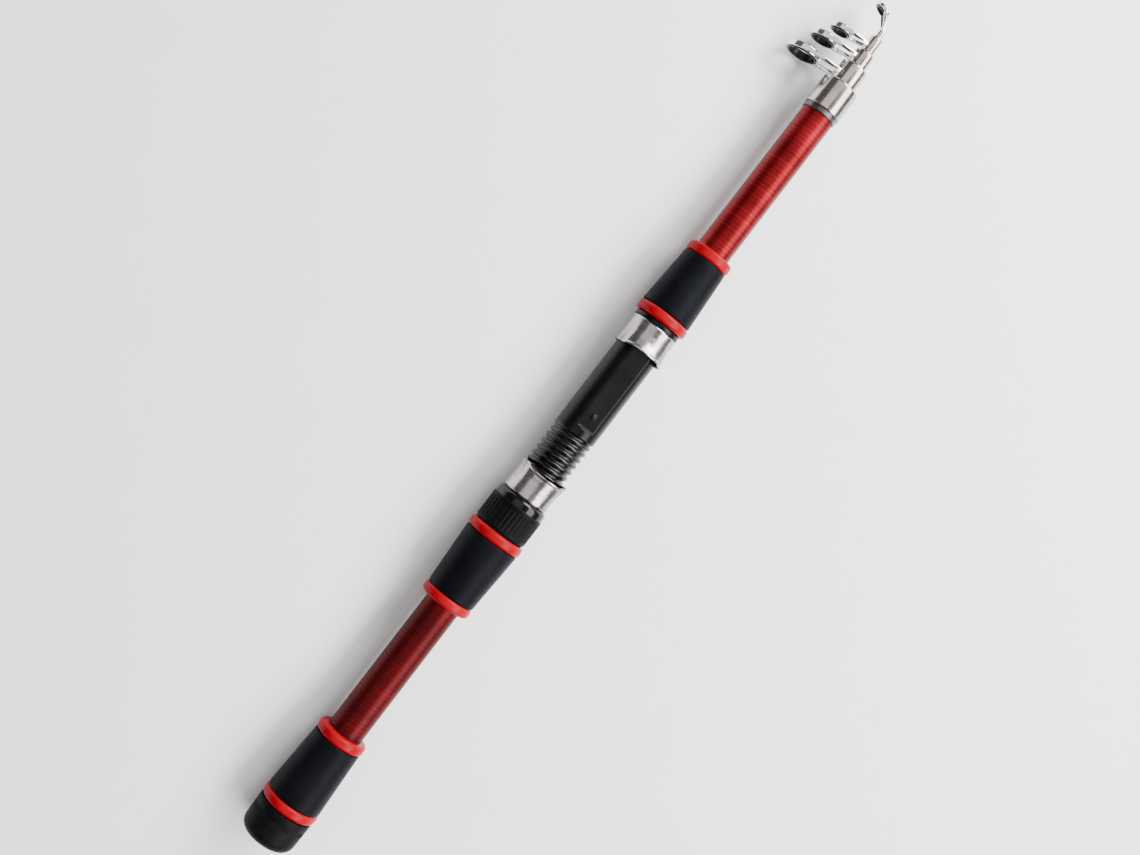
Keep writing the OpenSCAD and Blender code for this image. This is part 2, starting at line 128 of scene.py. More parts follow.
class Finish:  # one material, built node by node
    def __init__(self, name, **constants):
        self.material = bpy.data.materials.new(name)
        self.material.use_nodes = True
        self.tree = self.material.node_tree
        self.shader = self.tree.nodes["Principled BSDF"]
        for socket, value in constants.items():
            self.shader.inputs[socket.replace("_", " ")].default_value = value

    def add(self, kind, settings=None, out=0, **values):
        made = self.tree.nodes.new("ShaderNode" + kind)
        for key, value in (settings or {}).items():
            if key == "stops":
                self.setStops(made.color_ramp, value)
            else:
                setattr(made, key, value)
        for key, value in values.items():
            socket = made.inputs[int(key[1:]) if key[0] == "_" else key.replace("_", " ")]
            if isinstance(value, Wire):
                self.tree.links.new(value.socket, socket)
            else:
                socket.default_value = value
        return Wire(self, made.outputs[out])

    def setStops(self, ramp, stops):
        while len(ramp.elements) < len(stops):
            ramp.elements.new(0.5)
        for element, (place, colour) in zip(ramp.elements, stops):
            element.position = place
            element.color = (*colour, 1)

    def place(self):  # the point on the piece, in mm, as x, y, z
        at = self.add("TexCoord", out="Object")
        split = self.add("SeparateXYZ", Vector=at)
        outputs = split.socket.node.outputs
        return at, [Wire(self, output) * (1 / mm) for output in outputs]

    def noise(self, at, scale, detail=3, roughness=0.55, stretch=(1, 1, 1)):
        scaled = self.add("Mapping", Vector=at, Scale=stretch)
        return self.add("TexNoise", Vector=scaled, Scale=scale, Detail=detail, Roughness=roughness)

    def colours(self, amount, *stops):
        return self.add("ValToRGB", {"stops": stops}, Fac=amount)

    def bump(self, height, depth, strength=1.0, under=None):
        values = {"Height": height, "Distance": depth * mm, "Strength": strength}
        if under:
            values["Normal"] = under
        return self.add("Bump", **values)

    def feed(self, **links):
        for socket, wire in links.items():
            self.tree.links.new(wire.socket, self.shader.inputs[socket.replace("_", " ")])


def makePiece(name, points, faces, sharp=32):
    mesh = bpy.data.meshes.new(name)
    mesh.from_pydata([[c * mm for c in p] for p in points], [], faces)
    mesh.validate()
    mesh.shade_smooth()
    mesh.set_sharp_from_angle(angle=math.radians(sharp))
    piece = bpy.data.objects.new(name, mesh)
    bpy.context.scene.collection.objects.link(piece)
    return piece


def rounded(corners, steps=5):  # outline of (x, radius, fillet) corners, as plain points
    line = []
    count = len(corners)
    for i, corner in enumerate(corners):
        here = np.array(corner[:2], float)
        fillet = corner[2] if len(corner) > 2 else 0
        if not fillet:
            line.append(tuple(here))
            continue
        back = np.array(corners[i - 1][:2], float) - here
        ahead = np.array(corners[(i + 1) % count][:2], float) - here
        lengths = np.linalg.norm(back), np.linalg.norm(ahead)
        back, ahead = back / lengths[0], ahead / lengths[1]
        half = math.acos(max(-1, min(1, float(back @ ahead)))) / 2
        run = min(fillet / math.tan(half), 0.48 * lengths[0], 0.48 * lengths[1])
        radius = run * math.tan(half)
        centre = here + (back + ahead) / np.linalg.norm(back + ahead) * radius / math.sin(half)
        first, last = here + back * run - centre, here + ahead * run - centre
        turn = math.atan2(first[0] * last[1] - first[1] * last[0], float(first @ last))
        for k in range(steps + 1):
            a = turn * k / steps
            line.append((
                centre[0] + first[0] * math.cos(a) - first[1] * math.sin(a),
                centre[1] + first[0] * math.sin(a) + first[1] * math.cos(a),
            ))
    return line


def turned(name, line, segments=96, shape=None, closed=True, sharp=32):
    # surface of revolution round the rod; shape(x, radius, angle, row) may change a radius
    points, rows = [], []
    for k, (x, r) in enumerate(line):
        if r < 1e-6:
            rows.append([len(points)] * segments)
            points.append((x, 0, 0))
            continue
        start = len(points)
        for s in range(segments):
            a = tau * s / segments
            reach = shape(x, r, a, k) if shape else r
            points.append((x, reach * math.cos(a), reach * math.sin(a)))
        rows.append(list(range(start, start + segments)))
    faces = []
    for k in range(len(rows) if closed else len(rows) - 1):
        lower, upper = rows[k], rows[(k + 1) % len(rows)]
        for s in range(segments):
            t = (s + 1) % segments
            corners = [lower[s], lower[t], upper[t], upper[s]]
            face = [c for i, c in enumerate(corners) if c != corners[i - 1]]
            if len(face) > 2:
                faces.append(face)
    return makePiece(name, points, faces, sharp)


def finished(piece, material, body, slot, *replaced):
    piece.data.materials.clear()
    piece.data.materials.append(material)
    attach(piece, body)
    if replaced:
        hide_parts(*replaced)
    return piece


def painted(node, material):  # a CAD node that keeps its own shape
    piece = nodes[node]
    for slot in piece.material_slots:
        slot.material = material
    if not piece.material_slots:
        piece.data.materials.append(material)


def smoothStep(low, high, value):
    t = max(0.0, min(1.0, (value - low) / (high - low)))
    return t * t * (3 - 2 * t)


def threadHeight(x, angle, start, pitch):  # 0 in a right-hand thread's root, 1 on its crest
    phase = ((x - start) / pitch - angle / tau) % 1
    return (0.5 - 0.5 * math.cos(tau * phase)) ** 0.85


camera = {
    "distance": 641,  # from the rod's axis, mm
    "lens": 47.05,
    "sensor": 36,
    "near": 0.01,  # nothing closer is drawn, metres
    "roll": 16.0,  # the view's turn round the rod, towards the guides, degrees
    "lean": 37.51,  # the rod's lean in the frame, degrees
    "centre": 220.6,  # place along the rod at the frame's middle
    "aside": 2.9,  # distance of the frame's middle from the axis, on the guides' side
}

roll, lean = math.radians(camera["roll"]), math.radians(camera["lean"])
along = Vector((1, 0, 0))
guideSide = Vector((0, math.cos(roll), -math.sin(roll)))
viewer = along.cross(guideSide)


def makeCamera():
    right = along * math.sin(lean) - guideSide * math.cos(lean)
    up = along * math.cos(lean) + guideSide * math.sin(lean)
    data = bpy.data.cameras.new("camera")
    data.lens = camera["lens"]
    data.sensor_width = camera["sensor"]
    data.clip_start = camera["near"]
    made = bpy.data.objects.new("camera", data)
    turn = Matrix((right, up, viewer)).transposed().to_4x4()
    at = along * camera["centre"] + guideSide * camera["aside"] + viewer * camera["distance"]
    made.matrix_world = Matrix.Translation(at * mm) @ turn
    bpy.context.scene.collection.objects.link(made)
    bpy.context.scene.camera = made


lampDistance = 1.1  # from the rod, metres
# side turns a lamp round the rod, from the viewer to the right, in degrees; rise leans it
# towards the tip; place is along the rod, mm; size is in metres
lamps = {
    "keyLight": {"side": 58, "rise": 0, "place": 250, "size": (2.0, 0.6), "radiance": 10.5,
                 "colour": (1, 0.985, 0.97)},
    "frontLight": {"side": -6, "rise": 0, "place": 225, "size": (1.9, 0.9), "radiance": 1.2,
                   "colour": (1, 0.99, 0.985)},
    "tipLight": {"side": 40, "rise": 1.3, "place": 200, "size": (0.5, 0.6), "radiance": 24,
                 "colour": (0.97, 0.985, 1)},
}
skyColour = (0.93, 0.95, 1, 1)
skyStrength = 0.16


def softBox(name, side, rise, place, size, radiance, colour):
    turn = math.radians(side)
    direction = viewer * math.cos(turn) - guideSide * math.sin(turn)
    direction = (direction + along * rise).normalized()
    data = bpy.data.lights.new(name, "AREA")
    data.shape = "RECTANGLE"
    data.size, data.size_y = size
    data.energy = radiance * math.pi * size[0] * size[1]
    data.color = colour
    lamp = bpy.data.objects.new(name, data)
    across = direction.cross(along).normalized()
    aim = Matrix((across.cross(direction), across, direction)).transposed().to_4x4()
    at = along * place * mm + direction * lampDistance
    lamp.matrix_world = Matrix.Translation(at) @ aim
    bpy.context.scene.collection.objects.link(lamp)


def makeLight():
    for name, lamp in lamps.items():
        softBox(name, **lamp)
    world = bpy.data.worlds.new("studio")
    world.use_nodes = True
    sky = world.node_tree.nodes["Background"]
    sky.inputs["Color"].default_value = skyColour
    sky.inputs["Strength"].default_value = skyStrength
    bpy.context.scene.world = world


floorHalf = 4  # half the floor's side, metres


def makeFloor():
    finish = Finish("paleFloor", Roughness=0.65)
    at, _ = finish.place()
    grain = finish.noise(at, 60)
    finish.feed(
        Base_Color=finish.colours(grain, (0.3, (0.93, 0.93, 0.935)), (0.7, (0.95, 0.95, 0.955))))
    mesh = bpy.data.meshes.new("floor")
    corners = [(x * floorHalf, y * floorHalf, 0) for x, y in ((-1, -1), (1, -1), (1, 1), (-1, 1))]
    mesh.from_pydata(corners, [], [(0, 1, 2, 3)])
    floor = bpy.data.objects.new("floor", mesh)
    floor.location = (camera["centre"] * mm, 0, cadLow.z)
    mesh.materials.append(finish.material)
    bpy.context.scene.collection.objects.link(floor)


makeCamera()
makeLight()
makeFloor()
print("camera, light and floor are set")


def foamFinish():  # closed-cell foam: matte, with open pores where it was ground
    finish = Finish("foamGrip", Specular_IOR_Level=0.075, Specular_Tint=(0.75, 0.8, 1, 1))
    at, _ = finish.place()
    cloud = finish.noise(at, 55, 4)
    grain = finish.noise(at, 1500, 3, 0.7)
    pores = finish.add("TexVoronoi", {"feature": "F1"}, Vector=at, Scale=1700, out="Distance")
    dip = pores.between(0.08, 0.42)
    finish.feed(
        Base_Color=finish.colours(
            cloud * 0.6 + grain * 0.4,
            (0.32, (0.0010, 0.0010, 0.0014)), (0.7, (0.0040, 0.0040, 0.0056))),
        Roughness=0.4 + cloud * 0.14,
        Normal=finish.bump(dip * 0.6 + grain * 0.8, 0.11, 0.8))
    return finish.material


def trimFinish():  # bright red lacquered ring
    finish = Finish("redTrim", Specular_IOR_Level=0.09)
    at, _ = finish.place()
    cloud = finish.noise(at, 90, 4)
    fine = finish.noise(at, 900, 2)
    finish.feed(
        Base_Color=finish.colours(cloud, (0.3, (0.26, 0.0, 0.004)), (0.7, (0.33, 0.0, 0.007))),
        Roughness=0.22 + cloud * 0.16,
        Normal=finish.bump(fine, 0.02, 0.5))
    return finish.material


blankPiece = {
    "tapePitch": 1.9,  # of the wound tape
    "rows": 60,
}


def blankFinish():  # deep red over wound glass fibre, under a clear coat, with painted light brightening it towards the tip
    finish = Finish("redBlank", Coat_Weight=0.1, Coat_Roughness=0.3, Specular_IOR_Level=0.12)
    at, (x, y, z) = finish.place()
    angle = z.angleTo(y)
    tape = ((x / blankPiece["tapePitch"] - angle / tau) * tau).sine() * 0.5 + 0.5
    wander = finish.noise(at, 45, 3, stretch=(1, 0.25, 0.25))
    rings = finish.noise(at, 420, 3, stretch=(1, 0.03, 0.03))
    flake = finish.add("TexVoronoi", {"feature": "F1"}, Vector=at, Scale=5200, out="Color")
    glint = finish.add("SeparateColor", Color=flake)
    upper = x.between(span("mid_grip")[1], span("fore_grip")[1])  # painted light: brighter from the seat towards the tip, so the blank is darker towards the butt where less light falls; also glossier towards the tip
    # the tip-ward ramp adds painted light to the red tone
    tone = wander * 0.56 + rings * 0.24 + tape * 0.08 + glint * 0.16 + upper * 0.19 - 0.18
    finish.feed(
        Base_Color=finish.colours(
            tone, (0.28, (0.045, 0.0, 0.001)), (0.5, (0.13, 0.001, 0.003)),
            (0.74, (0.30, 0.012, 0.016))),
        Roughness=0.46 + rings * 0.16 - upper * 0.14,
        Metallic=0.58 + glint * 0.3,
        Normal=finish.bump(tape * 0.5 + rings, 0.03, 0.5))
    return finish.material


def seatFinish():  # moulded black plastic, its thread polished by the nut
    finish = Finish("seatPlastic", Specular_IOR_Level=0.16, Coat_Roughness=0.16)
    at, (x, _, _) = finish.place()
    cloud = finish.noise(at, 70, 4)
    fine = finish.noise(at, 1300, 3, 0.6)
    threadTo = saddleStart() - seatPiece["plain"]
    thread = 1 - x.between(threadTo - 0.5, threadTo + 1.5)
    finish.feed(
        Base_Color=finish.colours(
            cloud, (0.3, (0.0012, 0.0012, 0.0018)), (0.7, (0.0035, 0.0035, 0.0048))),
        Roughness=0.24 + cloud * 0.12,
        Coat_Weight=thread * 0.35,
        Normal=finish.bump(fine, 0.02, 0.5))
    return finish.material


def nutFinish():  # satin flutes and a polished nose
    finish = Finish("nutPlastic", Specular_IOR_Level=0.06, Coat_Roughness=0.12)
    at, (x, _, _) = finish.place()
    noseFrom = noseStart()
    nose = x.between(noseFrom, noseFrom + 0.8)
    fine = finish.noise(at, 1300, 3, 0.6)
    cloud = finish.noise(at, 80, 4)
    finish.feed(
        Base_Color=finish.colours(
            cloud, (0.3, (0.0018, 0.0018, 0.0022)), (0.7, (0.0045, 0.0045, 0.0052))),
        Roughness=0.42 + cloud * 0.1 - nose * 0.2,
        Coat_Weight=nose * 0.45,
        Normal=finish.bump(fine * (1 - nose), 0.03, 0.6))
    return finish.material


def rubberFinish():
    finish = Finish("capRubber", Specular_IOR_Level=0.07)
    at, _ = finish.place()
    cloud = finish.noise(at, 65, 5)
    fine = finish.noise(at, 1500, 3, 0.7)
    scuff = finish.noise(at, 170, 5, 0.7).between(0.56, 0.74)
    finish.feed(
        Base_Color=finish.colours(
            cloud * 0.7 + scuff * 0.3,
            (0.3, (0.0022, 0.0022, 0.0026)), (0.75, (0.0085, 0.0085, 0.01))),
        Roughness=0.52 + scuff * 0.22,
        Normal=finish.bump(fine, 0.05, 0.7))
    return finish.material


metals = {
    "hoodSteel": {"dark": (0.24, 0.21, 0.208), "pale": (0.52, 0.475, 0.465), "rough": 0.17,
                  "brushed": 0.12, "dents": 0.5},
    "collarNickel": {"dark": (0.36, 0.31, 0.275), "pale": (0.60, 0.535, 0.485), "rough": 0.14,
                     "brushed": 0.12, "dents": 0.05},
    "guideSteel": {"dark": (0.66, 0.66, 0.68), "pale": (0.80, 0.80, 0.82), "rough": 0.06,
                   "brushed": 0.02, "dents": 0.02, "scale": 2},
    "insertMetal": {"dark": (0.10, 0.10, 0.11), "pale": (0.17, 0.17, 0.18), "rough": 0.3,
                    "brushed": 0.15, "dents": 0.02},
    "ferruleMetal": {"dark": (0.50, 0.50, 0.52), "pale": (0.66, 0.66, 0.68), "rough": 0.22,
                     "brushed": 0.18, "dents": 0.01},
    "springWire": {"dark": (0.45, 0.45, 0.47), "pale": (0.60, 0.60, 0.62), "rough": 0.22,
                   "brushed": 0.1, "dents": 0.01},
}


def metalFinish(name, dark, pale, rough, brushed, dents, scale=1):
    finish = Finish(name, Metallic=1.0)
    at, _ = finish.place()
    cloud = finish.noise(at, 110 * scale, 4)
    lines = finish.noise(at, 2600, 3, 0.7, stretch=(1, 0.02, 0.02))  # turned round the axis
    soft = finish.noise(at, 130 * scale, 2)
    scratch = finish.noise(at, 900, 5, 0.75).between(0.58, 0.72)
    finish.feed(
        Base_Color=finish.colours(cloud * 0.6 + lines * 0.4, (0.3, dark), (0.7, pale)),
        Roughness=rough + lines * brushed + scratch * 0.06,
        Normal=finish.bump(lines, 0.012 * (0.2 + brushed), 0.6, finish.bump(soft, dents, 0.6)))
    return finish.material


def windingFinish():  # black thread under lacquer
    finish = Finish("blackBand", Coat_Weight=0.7, Coat_Roughness=0.1)
    at, (x, _, _) = finish.place()
    strands = (x * (tau / collarPieces["strand"])).sine() * 0.5 + 0.5
    cloud = finish.noise(at, 400, 3)
    finish.feed(
        Base_Color=finish.colours(
            strands * 0.6 + cloud * 0.4,
            (0.2, (0.005, 0.005, 0.005)), (0.8, (0.02, 0.019, 0.018))),
        Roughness=0.3 + cloud * 0.15,
        Normal=finish.bump(strands, 0.05, 0.7))
    return finish.material


def ceramicFinish():
    finish = Finish("guideCeramic", Specular_IOR_Level=0.15)
    at, _ = finish.place()
    cloud = finish.noise(at, 500, 4)
    finish.feed(
        Base_Color=finish.colours(
            cloud, (0.3, (0.006, 0.006, 0.007)), (0.7, (0.013, 0.013, 0.015))),
        Roughness=0.16 + cloud * 0.1,
        Normal=finish.bump(cloud, 0.008, 0.4))
    return finish.material


def cushionFinish():  # cork and rubber granules
    finish = Finish("cushionRubber", Specular_IOR_Level=0.3)
    at, _ = finish.place()
    grains = finish.add("TexVoronoi", {"feature": "F1"}, Vector=at, Scale=900, out="Color")
    tone = finish.add("SeparateColor", Color=grains)
    fine = finish.noise(at, 1400, 4, 0.7)
    finish.feed(
        Base_Color=finish.colours(
            tone, (0.2, (0.03, 0.02, 0.015)), (0.55, (0.16, 0.09, 0.05)),
            (0.85, (0.30, 0.19, 0.11))),
        Roughness=0.75 + fine * 0.15,
        Normal=finish.bump(tone + fine, 0.08, 0.8))
    return finish.material


capPiece = {
    "faceEdge": 7,  # rounding of the closed end
    "taper": 0.4,  # how much slimmer the closed end is
    "ribFrom": 10.6,
    "ribTo": 13.4,
    "ribs": 60,
    "ribDepth": 0.22,
    "ribEnd": 0.5,  # over which a rib rises
    "ribRound": 0.7,
    "mouthEdge": 0.9,
    "threadDepth": 0.55,
    "threadPitch": 2.0,
    "threadFade": 0.8,  # over which the ferrule's thread starts and ends
    "insertShare": 0.8,  # of the thread's depth that the insert's bore is cut
    "rowStep": 0.2,  # of the threaded parts
    "glueGap": 0.05,
    "runGap": 0.08,
}


def makeCap(rubber, insertMetal, ferruleMetal, cushion):
    size = capPiece
    first, last = span("butt_cap")
    radius = reachOf("butt_cap", first, last)
    insertFirst, insertLast = span("cap_insert")
    insertReach = reachOf("cap_insert", insertFirst, insertLast)
    ribRows = np.linspace(size["ribFrom"], size["ribTo"], 11)

    def slope(x):
        return radius - size["taper"] * (1 - (x - first) / (last - first))

    seatReach = insertReach + size["glueGap"]
    outline = rounded([
        (first, 0),
        (first, slope(first), size["faceEdge"]),
        *[(x, slope(x)) for x in ribRows],
        (last, radius, size["mouthEdge"]),
        (last, seatReach, 0.3),
        (insertFirst, seatReach, 0.3),
        (insertFirst, 0),
    ], steps=8)

    def ribbed(x, r, angle, row):
        if r < insertReach + 0.4 or not size["ribFrom"] < x < size["ribTo"]:
            return r
        ends = smoothStep(size["ribFrom"], size["ribFrom"] + size["ribEnd"], x)
        ends *= 1 - smoothStep(size["ribTo"] - size["ribEnd"], size["ribTo"], x)
        groove = (0.5 + 0.5 * math.cos(size["ribs"] * angle)) ** size["ribRound"]
        return r - size["ribDepth"] * ends * groove

    cover = turned("capCover", outline, 480, ribbed, closed=False)
    finished(cover, rubber, "cap", "cap_rubber", "butt_cap")

    floorX = span("cushion_pad")[0] - size["glueGap"]
    bore = reachOf("butt_ferrule", *span("butt_ferrule")) + size["runGap"]
    crest = bore - size["runGap"] / 2
    innerRows = np.arange(floorX + 0.6, insertLast - 0.6, size["rowStep"])
    outline = [
        (insertFirst, 0), *rounded([
            (insertFirst, insertReach, 0.4), (insertLast, insertReach, 0.3),
            (insertLast, bore, 0.3)])[:-6],
        (insertLast, bore + 0.3), *[(x, bore) for x in innerRows[::-1]],
        (floorX, bore), (floorX, 0)]

    def threaded(x, r, angle, row):
        if abs(r - bore) > 0.01 or not innerRows[0] < x < innerRows[-1]:
            return r
        cut = threadHeight(x, angle, floorX, size["threadPitch"])
        return bore + size["threadDepth"] * size["insertShare"] * cut

    insert = turned("capInsert", outline, 120, threaded, closed=False)
    finished(insert, insertMetal, "cap", "insert_metal", "cap_insert")

    first, last = span("butt_ferrule")
    hole = boreOf("butt_ferrule")
    threadRows = np.arange(first + 0.4, last - 1.2, size["rowStep"])
    root = crest - size["threadDepth"] - size["glueGap"]
    outline = [(first, hole), (first, root), *[(x, root) for x in threadRows],
               (last - 1, root), (last, root), (last, hole)]

    def ferruleThread(x, r, angle, row):
        if abs(r - root) > 0.01 or not threadRows[0] <= x <= threadRows[-1]:
            return r
        fade = smoothStep(threadRows[0], threadRows[0] + size["threadFade"], x)
        fade *= 1 - smoothStep(threadRows[-1] - size["threadFade"], threadRows[-1], x)
        crested = threadHeight(x, angle, first, size["threadPitch"])
        return root + size["threadDepth"] * fade * crested

    ferrule = turned("buttFerrule", outline, 120, ferruleThread)
    finished(ferrule, ferruleMetal, "butt_section", "ferrule_metal", "butt_ferrule")
    painted("cushion_pad", cushion)
    print("butt cap made")


gripPieces = {
    "names": {"rear_grip": "rearGrip", "mid_grip": "midGrip", "fore_grip": "foreGrip"},
    "edge": 0.7,
    "trimEdge": 1.7,
}
handleSegments = 144


def makeGrips(foam, red):
    size = gripPieces
    for node, name in size["names"].items():
        first, last = span(node)
        low, high = reachOf(node, first, first + 2), reachOf(node, last - 2, last)
        bore = boreOf(node)
        rows = np.linspace(first, last, 14)[1:-1]
        outer = [(x, low + (high - low) * (x - first) / (last - first)) for x in rows]
        outline = rounded([(first, bore), (first, low, size["edge"]), *outer,
                           (last, high, size["edge"]), (last, bore)])
        grip = turned(name, outline, handleSegments)
        finished(grip, foam, "butt_section", "foam_grip", node)
        for side in ("lower", "upper"):
            ring = f"{node}_{side}_ring"
            first, last = span(ring)
            reach, bore = reachOf(ring, first, last), boreOf(ring)
            outline = rounded([(first, bore), (first, reach, size["trimEdge"]),
                               (last, reach, size["trimEdge"]), (last, bore)], steps=8)
            trim = turned(f"{name}{side.capitalize()}Ring", outline, handleSegments)
            finished(trim, red, "butt_section", "red_trim", ring)
    print("grips and trim rings made")


def makeButtBlank(red):
    first, last = span("butt_blank")
    low, high = reachOf("butt_blank", first, first + 0.5), reachOf("butt_blank", last - 0.5, last)
    wall = low - min(math.hypot(v.co.y, v.co.z) for v in nodes["butt_blank"].data.vertices
                     if v.co.x < (first + 0.5) * mm) / mm
    rows = np.linspace(first, last, blankPiece["rows"])
    outer = [(x, low + (high - low) * (x - first) / (last - first)) for x in rows]
    inner = [(x, r - wall) for x, r in (outer[-1], outer[0])]
    blank = turned("buttBlank", [*outer, *inner], handleSegments)
    finished(blank, red, "butt_section", "red_blank", "butt_blank")


seatPiece = {
    "pitch": 3.2,
    "depth": 1.1,
    "seamAhead": 0.9,  # moulded line before the saddle's start
    "seamHeight": 0.14,
    "seamWidth": 0.28,
    "seamHalf": 1.1,  # half its turn round the seat, radians
    "seamFade": 0.25,  # its ends, radians
    "studHeight": 0.7,
    "studWidth": 1.4,
    "segments": 200,
    "rowStep": 0.22,  # along the thread
    "plain": 4.4,  # between the thread and the saddle
    "studAt": 6.2,  # from the saddle's start
    "keyWidth": 4.0,
    "keyDepth": 0.12,
}


def turnFromSaddle(angle):  # the saddle faces +Z, at a quarter turn
    return (angle - math.pi / 2 + math.pi) % tau - math.pi


def makeSeatBody(plastic):
    size = seatPiece
    first, last = span("reel_seat_body")
    crest = reachOf("reel_seat_body", first, last)
    root = crest - size["depth"]
    hole = boreOf("reel_seat_body")
    flat = saddleHeight()
    saddleFrom = saddleStart()
    threadTo = saddleFrom - size["plain"]
    stud = saddleFrom + size["studAt"]
    rows = [*np.arange(first + 0.3, threadTo + 0.6, size["rowStep"]),
            *np.linspace(threadTo + 0.7, saddleFrom + 1.0, 24),
            *np.linspace(saddleFrom + 1.2, stud - 1.6, 12),
            *np.linspace(stud - 1.5, stud + 1.5, 16),
            *np.linspace(stud + 2, last - 0.3, 30)]
    outline = [(first, hole), (first, root), *[(x, crest) for x in rows], (last, crest - 0.2),
               (last, hole)]

    def seatShape(x, r, angle, row):
        if r != crest:
            return r
        turn = turnFromSaddle(angle)
        if x < threadTo + 0.6:
            thread = threadHeight(x, angle, first, size["pitch"])
            thread = max(thread, smoothStep(threadTo - 0.6, threadTo + 0.6, x))
            reach = root + size["depth"] * thread
            fromKey = abs(abs(turn) - math.pi) * reach
            if fromKey < size["keyWidth"] / 2:
                reach = min(reach, root - size["keyDepth"])
            return reach
        seam = math.exp(-((x - saddleFrom + size["seamAhead"]) / size["seamWidth"]) ** 2)
        reach = crest
        if abs(turn) < size["seamHalf"]:
            fade = smoothStep(size["seamHalf"] - size["seamFade"], size["seamHalf"], abs(turn))
            reach += size["seamHeight"] * seam * (1 - fade)
        plane = flat / max(0.05, math.cos(turn))
        if abs(turn) < 1.2 and plane < crest:
            cut = smoothStep(saddleFrom - 0.5, saddleFrom + 0.5, x)
            reach = reach + (plane - reach) * cut
        across = turn * flat
        bump = ((x - stud) ** 2 + across ** 2) / size["studWidth"] ** 2
        if bump < 1 and abs(turn) < 1:
            reach += size["studHeight"] * (1 - bump) ** 0.6
        return reach

    body = turned("reelSeatBody", outline, size["segments"], seatShape, sharp=40)
    finished(body, plastic, "butt_section", "seat_plastic", "reel_seat_body")


def saddleHeight():  # the saddle's height over the rod's axis at the fixed hood
    last = span("reel_seat_body")[1]
    return max(v.co.z for v in nodes["reel_seat_body"].data.vertices
               if v.co.x > (last - 0.5) * mm) / mm


def saddleStart():  # where the saddle begins, after the thread
    first, last = span("reel_seat_body")
    half = math.sqrt(reachOf("reel_seat_body", first, last) ** 2 - saddleHeight() ** 2)
    return min(v.co.x for v in nodes["reel_seat_body"].data.vertices
               if abs(abs(v.co.y) / mm - half) < 0.02 and v.co.z > 0) / mm


hoodPiece = {
    "sheet": 0.45,
    "rise": 2.15,  # height of the pocket at its mouth
    "pocketHalf": 76,  # half the pocket's width, degrees
    "pocketEdge": 32,  # width of its sloping side
    "lip": 0.38,  # rolled edge at the mouth
    "lipFrom": 0.89,  # share of the length where the rolled edge starts to rise
    "lipTo": 0.95,
    "beadAt": 0.07,  # rolled edge at the closed end
    "scoop": 1.5,  # how far the mouth is cut back over the pocket
    "riseCurve": 0.86,  # share of an s-curve that the pocket's slope uses
    "riseGain": 1.12,
    "crownDrop": 0.1,  # how much lower the pocket is at its sides
    "narrowing": 5,  # of the pocket towards the closed end, degrees
    "liner": 0.35,
    "linerGap": 0.03,
    "segments": 240,
    "rows": 44,
    "runGap": 0.08,
    "glueGap": 0.02,
    "keyWidth": 3.5,
    "keyEdge": 0.3,
    "keyRoot": 0.1,  # how far the key is sunk into the tail
}


def makeHood(name, node, linerNode, body, fixed, steel, plastic):
    size = hoodPiece
    first, last = span(node)
    reach = max(-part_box(node)[0].z / mm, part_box(node)[1].y / mm)
    bore = reachOf("reel_seat_body", *span("reel_seat_body")) + size["linerGap"]
    back, mouth = (last, first) if fixed else (first, last)

    def pocket(opened, angle):  # height over the ring, from 0 at the closed end to 1 at the mouth
        turn = abs(math.degrees(turnFromSaddle(angle)))
        half = size["pocketHalf"] - size["narrowing"] * (1 - opened)
        side = 1 - smoothStep(half - size["pocketEdge"], half, turn)
        crown = 1 - size["crownDrop"] * (turn / half) ** 2
        slope = smoothStep(0.0, 1.0, opened * size["riseCurve"]) * size["riseGain"]
        return size["rise"] * side * crown * slope, side

    def at(opened, angle, reach, lipped):
        high, side = pocket(opened, angle)
        mouthLip = smoothStep(size["lipFrom"], size["lipTo"], opened) * (0.6 + 0.4 * side)
        beadEnd = 1 - smoothStep(size["beadAt"], size["beadAt"] + 0.05, opened)
        closedLip = smoothStep(0.0, 0.02, opened) * beadEnd * 0.5
        lip = size["lip"] * (mouthLip + closedLip)
        r = reach + high + (lip if lipped else 0)
        x = back + (mouth - back) * opened
        turn = abs(turnFromSaddle(angle))
        scoop = size["scoop"] * (1 - smoothStep(0.3, 0.95, turn)) * smoothStep(0.5, 1, opened)
        x -= scoop * (1 if mouth > back else -1)
        return x, r * math.cos(angle), r * math.sin(angle)

    def skin(label, layers, lipped):
        points, faces = [], []
        rows = []
        for reach, order in layers:
            for k in order:
                rows.append(len(points))
                for s in range(size["segments"]):
                    points.append(at(k, tau * s / size["segments"], reach, lipped))
        for i, row in enumerate(rows):
            above = rows[(i + 1) % len(rows)]
            for s in range(size["segments"]):
                t = (s + 1) % size["segments"]
                faces.append([row + s, row + t, above + t, above + s])
        return makePiece(label, points, faces, 42)

    steps = list(np.linspace(0, 1, size["rows"]))
    inside = reach - size["sheet"]
    middle = reach - size["sheet"] / 2
    shell = skin(name, [(inside, steps[:1]), (middle, [-0.004]), (reach, steps),
                        (middle, [1.0]), (inside, steps[::-1][:-1])], True)
    finished(shell, steel, body, "hood_steel", node)
    liner = skin(name + "Liner", [(inside - size["glueGap"], steps[1:-1]),
                                  (max(bore, inside - size["liner"]), steps[1:-1][::-1])], False)
    finished(liner, plastic, body, "seat_plastic", linerNode)


